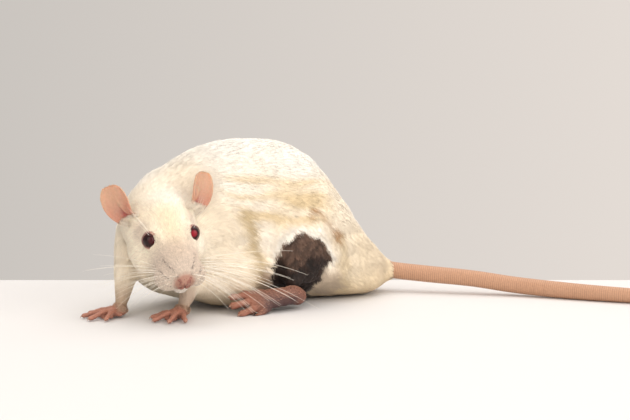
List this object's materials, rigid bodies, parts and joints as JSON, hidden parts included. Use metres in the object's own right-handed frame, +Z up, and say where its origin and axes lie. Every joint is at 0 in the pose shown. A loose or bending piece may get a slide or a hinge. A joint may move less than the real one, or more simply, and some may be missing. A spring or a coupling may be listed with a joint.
{
  "type": "laboratory rat model",
  "caption": "Still, life-size model of a pale laboratory rat on all fours, hunched, its head turned to one side and its tail trailing on the floor.",
  "frame": {"origin": "middle of the model's box, at the level of the floor it stands on", "axes": "+X from the shoulders towards the rump and tail, +Y to the animal's right, +Z up"},
  "size_m": [0.322, 0.2266, 0.0861],
  "materials": {
    "coat": "short pale cream fur",
    "ear_skin": "thin bare pink skin",
    "bare_skin": "bare pink skin",
    "tail_skin": "fine rings of skin",
    "eye": "glossy dark ruby"
  },
  "bodies": {
    "root": {"head": "coat", "neck": "coat", "torso": "coat", "ear_left": "ear_skin", "ear_right": "ear_skin", "eye_left": "eye", "eye_right": "eye", "foreleg_left": "coat", "foreleg_right": "coat", "hindleg_left": "coat", "hindleg_right": "coat", "forepaw_left": "bare_skin", "forepaw_right": "bare_skin", "hindfoot_left": "bare_skin", "hindfoot_right": "bare_skin", "tail_1": "tail_skin", "tail_2": "tail_skin", "tail_3": "tail_skin", "tail_4": "tail_skin"}
  },
  "joints": []
}
